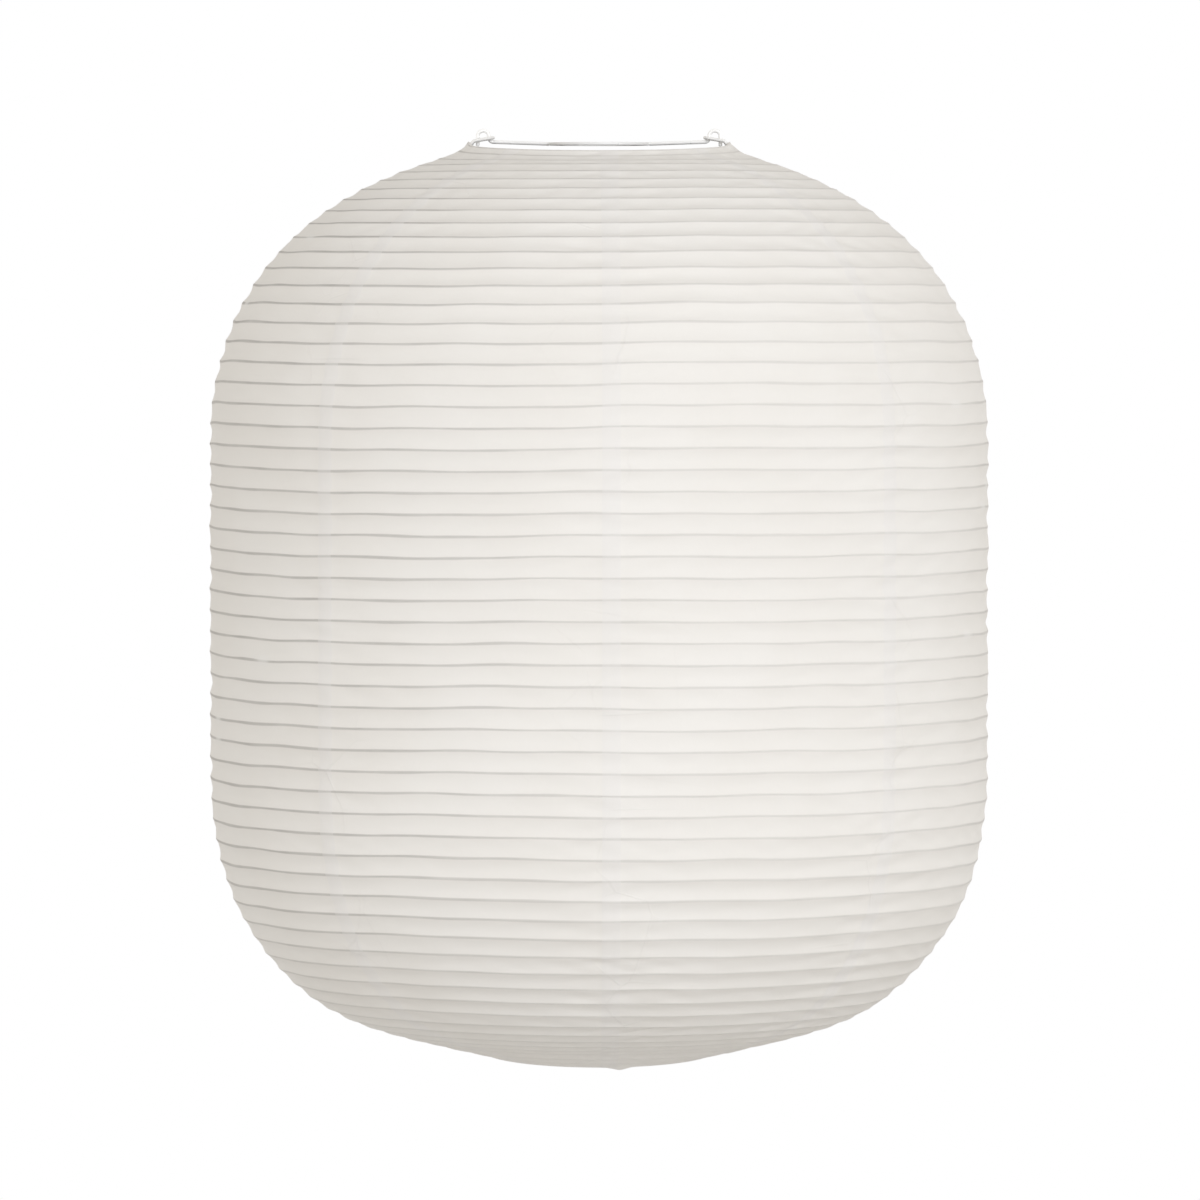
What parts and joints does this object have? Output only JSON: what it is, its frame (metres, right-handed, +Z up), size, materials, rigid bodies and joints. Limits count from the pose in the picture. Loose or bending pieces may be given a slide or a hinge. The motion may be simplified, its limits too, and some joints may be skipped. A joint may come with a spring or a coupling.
{
  "type": "accordion paper lantern",
  "caption": "Tall rounded pendant lantern shade of paper gores on wire hoops, kept stretched by a sprung wire frame with a lampholder collar, and folding flat along its height",
  "frame": {"origin": "centre of the lampholder collar's bore, on the line of the crossbar", "axes": "+Z up along the lantern's axis, X along the crossbar through both frame legs, -Y to the front"},
  "size_m": [0.4196, 0.4196, 0.5],
  "materials": {
    "paper": "matt rice paper, off-white, slightly see-through",
    "hoop_wire": "thin pale coated wire",
    "frame_wire": "white satin powder coat"
  },
  "bodies": {
    "frame": {"lampholder_collar": "frame_wire", "crossbar_arms": "frame_wire", "top_ring": "frame_wire", "paper_gores": "paper", "rib_01": "hoop_wire", "rib_02": "hoop_wire"},
    "rib_03": {"rib_03": "hoop_wire"},
    "rib_04": {"rib_04": "hoop_wire"},
    "rib_05": {"rib_05": "hoop_wire"},
    "rib_06": {"rib_06": "hoop_wire"},
    "rib_07": {"rib_07": "hoop_wire"},
    "rib_08": {"rib_08": "hoop_wire"},
    "rib_09": {"rib_09": "hoop_wire"},
    "rib_10": {"rib_10": "hoop_wire"},
    "rib_11": {"rib_11": "hoop_wire"},
    "rib_12": {"rib_12": "hoop_wire"},
    "rib_13": {"rib_13": "hoop_wire"},
    "rib_14": {"rib_14": "hoop_wire"},
    "rib_15": {"rib_15": "hoop_wire"},
    "rib_16": {"rib_16": "hoop_wire"},
    "rib_17": {"rib_17": "hoop_wire"},
    "rib_18": {"rib_18": "hoop_wire"},
    "rib_19": {"rib_19": "hoop_wire"},
    "rib_20": {"rib_20": "hoop_wire"},
    "rib_21": {"rib_21": "hoop_wire"},
    "rib_22": {"rib_22": "hoop_wire"},
    "rib_23": {"rib_23": "hoop_wire"},
    "rib_24": {"rib_24": "hoop_wire"},
    "rib_25": {"rib_25": "hoop_wire"},
    "rib_26": {"rib_26": "hoop_wire"},
    "rib_27": {"rib_27": "hoop_wire"},
    "rib_28": {"rib_28": "hoop_wire"},
    "rib_29": {"rib_29": "hoop_wire"},
    "rib_30": {"rib_30": "hoop_wire"},
    "rib_31": {"rib_31": "hoop_wire"},
    "rib_32": {"rib_32": "hoop_wire"},
    "rib_33": {"rib_33": "hoop_wire"},
    "rib_34": {"rib_34": "hoop_wire"},
    "rib_35": {"rib_35": "hoop_wire"},
    "rib_36": {"rib_36": "hoop_wire"},
    "rib_37": {"rib_37": "hoop_wire"},
    "rib_38": {"rib_38": "hoop_wire"},
    "rib_39": {"rib_39": "hoop_wire"},
    "rib_40": {"rib_40": "hoop_wire"},
    "rib_41": {"rib_41": "hoop_wire"},
    "rib_42": {"rib_42": "hoop_wire"},
    "rib_43": {"rib_43": "hoop_wire"},
    "rib_44": {"rib_44": "hoop_wire"},
    "rib_45": {"rib_45": "hoop_wire"},
    "rib_46": {"rib_46": "hoop_wire"},
    "rib_47": {"rib_47": "hoop_wire"},
    "rib_48": {"rib_48": "hoop_wire"},
    "rib_49": {"rib_49": "hoop_wire"},
    "rib_50": {"rib_50": "hoop_wire"},
    "rib_51": {"rib_51": "hoop_wire"},
    "rib_52": {"rib_52": "hoop_wire"},
    "bottom": {"bottom_ring": "frame_wire", "underside_ribs": "hoop_wire"},
    "leg_left": {"leg_left": "frame_wire"},
    "leg_right": {"leg_right": "frame_wire"}
  },
  "joints": [
    {"name": "fold_03", "type": "slide", "parent": "frame", "child": "rib_03", "axis": [0, 0, 1], "range_m": [0, 0.00151], "deforming": ["paper_gores"]},
    {"name": "fold_04", "type": "slide", "parent": "rib_03", "child": "rib_04", "axis": [0, 0, 1], "range_m": [0, 0.00322]},
    {"name": "fold_05", "type": "slide", "parent": "rib_04", "child": "rib_05", "axis": [0, 0, 1], "range_m": [0, 0.00377]},
    {"name": "fold_06", "type": "slide", "parent": "rib_05", "child": "rib_06", "axis": [0, 0, 1], "range_m": [0, 0.00434]},
    {"name": "fold_07", "type": "slide", "parent": "rib_06", "child": "rib_07", "axis": [0, 0, 1], "range_m": [0, 0.00494]},
    {"name": "fold_08", "type": "slide", "parent": "rib_07", "child": "rib_08", "axis": [0, 0, 1], "range_m": [0, 0.00554]},
    {"name": "fold_09", "type": "slide", "parent": "rib_08", "child": "rib_09", "axis": [0, 0, 1], "range_m": [0, 0.00615]},
    {"name": "fold_10", "type": "slide", "parent": "rib_09", "child": "rib_10", "axis": [0, 0, 1], "range_m": [0, 0.00677]},
    {"name": "fold_11", "type": "slide", "parent": "rib_10", "child": "rib_11", "axis": [0, 0, 1], "range_m": [0, 0.00737]},
    {"name": "fold_12", "type": "slide", "parent": "rib_11", "child": "rib_12", "axis": [0, 0, 1], "range_m": [0, 0.00795]},
    {"name": "fold_13", "type": "slide", "parent": "rib_12", "child": "rib_13", "axis": [0, 0, 1], "range_m": [0, 0.0085]},
    {"name": "fold_14", "type": "slide", "parent": "rib_13", "child": "rib_14", "axis": [0, 0, 1], "range_m": [0, 0.009]},
    {"name": "fold_15", "type": "slide", "parent": "rib_14", "child": "rib_15", "axis": [0, 0, 1], "range_m": [0, 0.00944]},
    {"name": "fold_16", "type": "slide", "parent": "rib_15", "child": "rib_16", "axis": [0, 0, 1], "range_m": [0, 0.00982]},
    {"name": "fold_17", "type": "slide", "parent": "rib_16", "child": "rib_17", "axis": [0, 0, 1], "range_m": [0, 0.01011]},
    {"name": "fold_18", "type": "slide", "parent": "rib_17", "child": "rib_18", "axis": [0, 0, 1], "range_m": [0, 0.01034]},
    {"name": "fold_19", "type": "slide", "parent": "rib_18", "child": "rib_19", "axis": [0, 0, 1], "range_m": [0, 0.00909]},
    {"name": "fold_20", "type": "slide", "parent": "rib_19", "child": "rib_20", "axis": [0, 0, 1], "range_m": [0, 0.00919]},
    {"name": "fold_21", "type": "slide", "parent": "rib_20", "child": "rib_21", "axis": [0, 0, 1], "range_m": [0, 0.00924]},
    {"name": "fold_22", "type": "slide", "parent": "rib_21", "child": "rib_22", "axis": [0, 0, 1], "range_m": [0, 0.00929]},
    {"name": "fold_23", "type": "slide", "parent": "rib_22", "child": "rib_23", "axis": [0, 0, 1], "range_m": [0, 0.0093]},
    {"name": "fold_24", "type": "slide", "parent": "rib_23", "child": "rib_24", "axis": [0, 0, 1], "range_m": [0, 0.0093]},
    {"name": "fold_25", "type": "slide", "parent": "rib_24", "child": "rib_25", "axis": [0, 0, 1], "range_m": [0, 0.0093]},
    {"name": "fold_26", "type": "slide", "parent": "rib_25", "child": "rib_26", "axis": [0, 0, 1], "range_m": [0, 0.0093]},
    {"name": "fold_27", "type": "slide", "parent": "rib_26", "child": "rib_27", "axis": [0, 0, 1], "range_m": [0, 0.0093]},
    {"name": "fold_28", "type": "slide", "parent": "rib_27", "child": "rib_28", "axis": [0, 0, 1], "range_m": [0, 0.0093]},
    {"name": "fold_29", "type": "slide", "parent": "rib_28", "child": "rib_29", "axis": [0, 0, 1], "range_m": [0, 0.0093]},
    {"name": "fold_30", "type": "slide", "parent": "rib_29", "child": "rib_30", "axis": [0, 0, 1], "range_m": [0, 0.0093]},
    {"name": "fold_31", "type": "slide", "parent": "rib_30", "child": "rib_31", "axis": [0, 0, 1], "range_m": [0, 0.0093]},
    {"name": "fold_32", "type": "slide", "parent": "rib_31", "child": "rib_32", "axis": [0, 0, 1], "range_m": [0, 0.0093]},
    {"name": "fold_33", "type": "slide", "parent": "rib_32", "child": "rib_33", "axis": [0, 0, 1], "range_m": [0, 0.0093]},
    {"name": "fold_34", "type": "slide", "parent": "rib_33", "child": "rib_34", "axis": [0, 0, 1], "range_m": [0, 0.0093]},
    {"name": "fold_35", "type": "slide", "parent": "rib_34", "child": "rib_35", "axis": [0, 0, 1], "range_m": [0, 0.0093]},
    {"name": "fold_36", "type": "slide", "parent": "rib_35", "child": "rib_36", "axis": [0, 0, 1], "range_m": [0, 0.0093]},
    {"name": "fold_37", "type": "slide", "parent": "rib_36", "child": "rib_37", "axis": [0, 0, 1], "range_m": [0, 0.00927]},
    {"name": "fold_38", "type": "slide", "parent": "rib_37", "child": "rib_38", "axis": [0, 0, 1], "range_m": [0, 0.00924]},
    {"name": "fold_39", "type": "slide", "parent": "rib_38", "child": "rib_39", "axis": [0, 0, 1], "range_m": [0, 0.0092]},
    {"name": "fold_40", "type": "slide", "parent": "rib_39", "child": "rib_40", "axis": [0, 0, 1], "range_m": [0, 0.00912]},
    {"name": "fold_41", "type": "slide", "parent": "rib_40", "child": "rib_41", "axis": [0, 0, 1], "range_m": [0, 0.00898]},
    {"name": "fold_42", "type": "slide", "parent": "rib_41", "child": "rib_42", "axis": [0, 0, 1], "range_m": [0, 0.01017]},
    {"name": "fold_43", "type": "slide", "parent": "rib_42", "child": "rib_43", "axis": [0, 0, 1], "range_m": [0, 0.00988]},
    {"name": "fold_44", "type": "slide", "parent": "rib_43", "child": "rib_44", "axis": [0, 0, 1], "range_m": [0, 0.0095]},
    {"name": "fold_45", "type": "slide", "parent": "rib_44", "child": "rib_45", "axis": [0, 0, 1], "range_m": [0, 0.00905]},
    {"name": "fold_46", "type": "slide", "parent": "rib_45", "child": "rib_46", "axis": [0, 0, 1], "range_m": [0, 0.00854]},
    {"name": "fold_47", "type": "slide", "parent": "rib_46", "child": "rib_47", "axis": [0, 0, 1], "range_m": [0, 0.00799]},
    {"name": "fold_48", "type": "slide", "parent": "rib_47", "child": "rib_48", "axis": [0, 0, 1], "range_m": [0, 0.0074]},
    {"name": "fold_49", "type": "slide", "parent": "rib_48", "child": "rib_49", "axis": [0, 0, 1], "range_m": [0, 0.00671]},
    {"name": "fold_50", "type": "slide", "parent": "rib_49", "child": "rib_50", "axis": [0, 0, 1], "range_m": [0, 0.00583]},
    {"name": "fold_51", "type": "slide", "parent": "rib_50", "child": "rib_51", "axis": [0, 0, 1], "range_m": [0, 0.00476]},
    {"name": "fold_52", "type": "slide", "parent": "rib_51", "child": "rib_52", "axis": [0, 0, 1], "range_m": [0, 0.00371]},
    {"name": "fold_53", "type": "slide", "parent": "rib_52", "child": "bottom", "axis": [0, 0, 1], "range_m": [0, 0.00295]},
    {"name": "squeeze_left", "type": "hinge", "parent": "frame", "child": "leg_left", "pos_m": [-0.0652, 0, -0.0022], "axis": [0, -1, 0], "range_deg": [0, 3], "stiffness_Nm_per_rad": 9},
    {"name": "squeeze_right", "type": "hinge", "parent": "frame", "child": "leg_right", "pos_m": [0.0652, 0, -0.0022], "axis": [0, 1, 0], "range_deg": [0, 3], "stiffness_Nm_per_rad": 9}
  ],
  "couplings": [
    {"joint": "fold_04", "follows": "fold_03", "ratio": 2.1324},
    {"joint": "fold_05", "follows": "fold_03", "ratio": 2.4967},
    {"joint": "fold_06", "follows": "fold_03", "ratio": 2.8742},
    {"joint": "fold_07", "follows": "fold_03", "ratio": 3.2715},
    {"joint": "fold_08", "follows": "fold_03", "ratio": 3.6689},
    {"joint": "fold_09", "follows": "fold_03", "ratio": 4.0728},
    {"joint": "fold_10", "follows": "fold_03", "ratio": 4.4834},
    {"joint": "fold_11", "follows": "fold_03", "ratio": 4.8808},
    {"joint": "fold_12", "follows": "fold_03", "ratio": 5.2649},
    {"joint": "fold_13", "follows": "fold_03", "ratio": 5.6291},
    {"joint": "fold_14", "follows": "fold_03", "ratio": 5.9603},
    {"joint": "fold_15", "follows": "fold_03", "ratio": 6.2517},
    {"joint": "fold_16", "follows": "fold_03", "ratio": 6.5033},
    {"joint": "fold_17", "follows": "fold_03", "ratio": 6.6954},
    {"joint": "fold_18", "follows": "fold_03", "ratio": 6.8477},
    {"joint": "fold_19", "follows": "fold_03", "ratio": 6.0199},
    {"joint": "fold_20", "follows": "fold_03", "ratio": 6.0861},
    {"joint": "fold_21", "follows": "fold_03", "ratio": 6.1192},
    {"joint": "fold_22", "follows": "fold_03", "ratio": 6.1523},
    {"joint": "fold_23", "follows": "fold_03", "ratio": 6.1589},
    {"joint": "fold_24", "follows": "fold_03", "ratio": 6.1589},
    {"joint": "fold_25", "follows": "fold_03", "ratio": 6.1589},
    {"joint": "fold_26", "follows": "fold_03", "ratio": 6.1589},
    {"joint": "fold_27", "follows": "fold_03", "ratio": 6.1589},
    {"joint": "fold_28", "follows": "fold_03", "ratio": 6.1589},
    {"joint": "fold_29", "follows": "fold_03", "ratio": 6.1589},
    {"joint": "fold_30", "follows": "fold_03", "ratio": 6.1589},
    {"joint": "fold_31", "follows": "fold_03", "ratio": 6.1589},
    {"joint": "fold_32", "follows": "fold_03", "ratio": 6.1589},
    {"joint": "fold_33", "follows": "fold_03", "ratio": 6.1589},
    {"joint": "fold_34", "follows": "fold_03", "ratio": 6.1589},
    {"joint": "fold_35", "follows": "fold_03", "ratio": 6.1589},
    {"joint": "fold_36", "follows": "fold_03", "ratio": 6.1589},
    {"joint": "fold_37", "follows": "fold_03", "ratio": 6.1391},
    {"joint": "fold_38", "follows": "fold_03", "ratio": 6.1192},
    {"joint": "fold_39", "follows": "fold_03", "ratio": 6.0927},
    {"joint": "fold_40", "follows": "fold_03", "ratio": 6.0397},
    {"joint": "fold_41", "follows": "fold_03", "ratio": 5.947},
    {"joint": "fold_42", "follows": "fold_03", "ratio": 6.7351},
    {"joint": "fold_43", "follows": "fold_03", "ratio": 6.543},
    {"joint": "fold_44", "follows": "fold_03", "ratio": 6.2914},
    {"joint": "fold_45", "follows": "fold_03", "ratio": 5.9934},
    {"joint": "fold_46", "follows": "fold_03", "ratio": 5.6556},
    {"joint": "fold_47", "follows": "fold_03", "ratio": 5.2914},
    {"joint": "fold_48", "follows": "fold_03", "ratio": 4.9007},
    {"joint": "fold_49", "follows": "fold_03", "ratio": 4.4437},
    {"joint": "fold_50", "follows": "fold_03", "ratio": 3.8609},
    {"joint": "fold_51", "follows": "fold_03", "ratio": 3.1523},
    {"joint": "fold_52", "follows": "fold_03", "ratio": 2.457},
    {"joint": "fold_53", "follows": "fold_03", "ratio": 1.9536}
  ]
}
